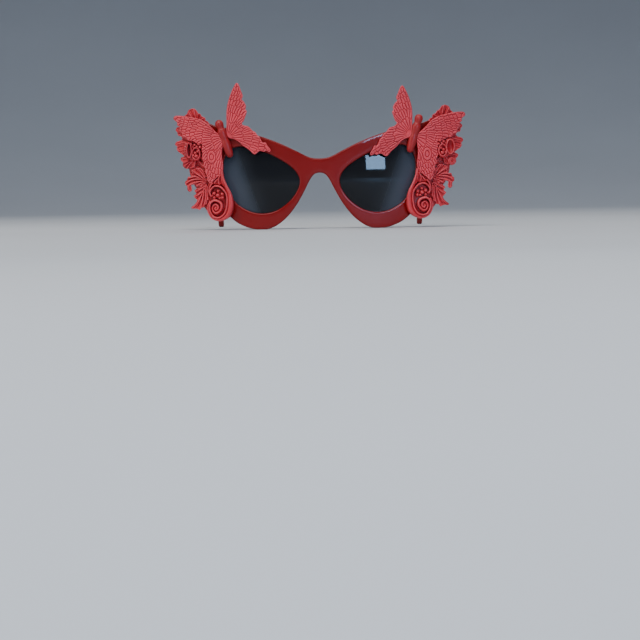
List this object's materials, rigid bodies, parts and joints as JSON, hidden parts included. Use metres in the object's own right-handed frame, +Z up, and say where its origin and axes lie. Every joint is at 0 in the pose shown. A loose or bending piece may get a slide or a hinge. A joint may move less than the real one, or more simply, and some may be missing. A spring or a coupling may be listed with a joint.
{
  "type": "cat eye sunglasses",
  "caption": "Thick cat eye sunglasses with dark lenses, folding temples and a butterfly over scrolling leaves at each outer corner.",
  "frame": {"origin": "on the table plane under the middle of the open glasses: midway between the sides and halfway along the depth", "axes": "+X to the right seen from the front, -Y forward, +Z up. Left and right in the node names are as seen from the front, so left is on the -X side"},
  "size_m": [0.1912, 0.151, 0.0954],
  "materials": {
    "frame_acetate": "polished",
    "lens_tint": "polished, dark tint",
    "hinge_steel": "satin",
    "wing_resin": "matte, cast resin",
    "scroll_resin": "satin, cast resin"
  },
  "bodies": {
    "front": {"frame_front": "frame_acetate", "lens_left": "lens_tint", "lens_right": "lens_tint", "nose_pad_left": "frame_acetate", "nose_pad_right": "frame_acetate", "front_hinge_left": "hinge_steel", "front_hinge_right": "hinge_steel", "front_rivets_left": "hinge_steel", "front_rivets_right": "hinge_steel", "hinge_screw_left": "hinge_steel", "hinge_screw_right": "hinge_steel", "butterfly_body_left": "wing_resin", "butterfly_body_right": "wing_resin", "inner_wing_left": "wing_resin", "inner_wing_right": "wing_resin", "outer_wing_left": "wing_resin", "outer_wing_right": "wing_resin", "spray_base_left": "scroll_resin", "spray_base_right": "scroll_resin", "volute_left": "scroll_resin", "volute_right": "scroll_resin", "volute_berries_left": "scroll_resin", "volute_berries_right": "scroll_resin", "leaf_lower_left": "scroll_resin", "leaf_lower_right": "scroll_resin", "leaf_middle_left": "scroll_resin", "leaf_middle_right": "scroll_resin", "leaf_outer_left": "scroll_resin", "leaf_outer_right": "scroll_resin", "crest_left": "scroll_resin", "crest_right": "scroll_resin", "flower_cup_left": "scroll_resin", "flower_cup_right": "scroll_resin", "cup_berries_left": "scroll_resin", "cup_berries_right": "scroll_resin", "rosebud_left": "scroll_resin", "rosebud_right": "scroll_resin"},
    "temple_left": {"temple_left": "frame_acetate", "temple_hinge_left": "hinge_steel", "temple_rivets_left": "hinge_steel", "core_wire_left": "hinge_steel"},
    "temple_right": {"temple_right": "frame_acetate", "temple_hinge_right": "hinge_steel", "temple_rivets_right": "hinge_steel", "core_wire_right": "hinge_steel"}
  },
  "joints": [
    {"name": "temple_left_fold", "type": "hinge", "parent": "front", "child": "temple_left", "pos_m": [-0.068, -0.05328, 0.06], "axis": [0, 0, -1], "range_deg": [0, 90]},
    {"name": "temple_right_fold", "type": "hinge", "parent": "front", "child": "temple_right", "pos_m": [0.068, -0.05328, 0.06], "axis": [0, 0, 1], "range_deg": [0, 84]}
  ]
}
